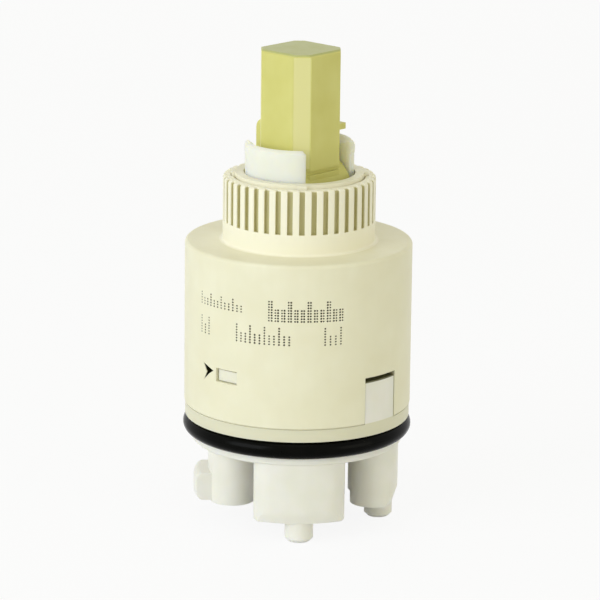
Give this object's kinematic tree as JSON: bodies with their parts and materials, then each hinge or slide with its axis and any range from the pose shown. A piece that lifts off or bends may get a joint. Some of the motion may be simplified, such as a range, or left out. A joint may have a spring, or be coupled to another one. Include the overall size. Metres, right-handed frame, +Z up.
{
  "type": "faucet cartridge",
  "caption": "Single-lever mixer cartridge: clipped shell with splined collar, legged base with seals, and a tilting, turning lever that slides a ceramic disc.",
  "frame": {"origin": "on the cartridge's axis, at the level of the tips of the locating pins, which is the centre of the bounding box's lower face", "axes": "+Z points up the lever along the cartridge's axis, -Y towards the side with the locating pins (front, inlets), +X to the right of that side (hot side), and the YZ plane is the middle plane"},
  "size_m": [0.0404, 0.0404, 0.0848],
  "materials": {
    "shell_plastic": "moulded ivory plastic, satin",
    "natural_plastic": "moulded natural white plastic, slightly translucent",
    "white_plastic": "moulded white plastic, satin",
    "pink_plastic": "moulded pale pink plastic, satin",
    "olive_plastic": "moulded yellow-green plastic, satin and slightly translucent",
    "black_rubber": "greased black rubber",
    "ceramic": "ground and lapped white ceramic",
    "steel": "stainless steel"
  },
  "bodies": {
    "housing": {"housing_shell": "shell_plastic", "base_body": "natural_plastic", "perimeter_oring": "black_rubber", "fixed_disc": "ceramic", "hot_port_seal": "black_rubber", "cold_port_seal": "black_rubber", "outlet_port_seal": "black_rubber", "hot_inlet_seal": "black_rubber", "cold_inlet_seal": "black_rubber", "carrier_bearing_ring": "steel", "hot_limit_ring": "pink_plastic"},
    "carrier": {"lever_carrier": "white_plastic", "lever_pin": "steel", "carrier_brake_ring": "black_rubber", "guide_plate": "steel"},
    "lever": {"lever_stem": "olive_plastic"},
    "slider": {"disc_driver": "natural_plastic", "moving_disc": "ceramic", "chamber_seal_ring": "black_rubber", "silencer_screen": "steel"}
  },
  "joints": [
    {"name": "temperature_turn", "type": "hinge", "parent": "housing", "child": "carrier", "pos_m": [0, 0, 0.05], "axis": [0, 0, 1], "range_deg": [-50, 50]},
    {"name": "lever_tilt", "type": "hinge", "parent": "carrier", "child": "lever", "pos_m": [0, 0, 0.05846], "axis": [1, 0, 0], "range_deg": [-12, 12]},
    {"name": "disc_slide", "type": "slide", "parent": "carrier", "child": "slider", "axis": [0, 1, 0], "range_m": [-0.0035, 0.0035]}
  ],
  "couplings": [
    {"joint": "disc_slide", "follows": "lever_tilt", "m_per_rad": 0.01644}
  ]
}
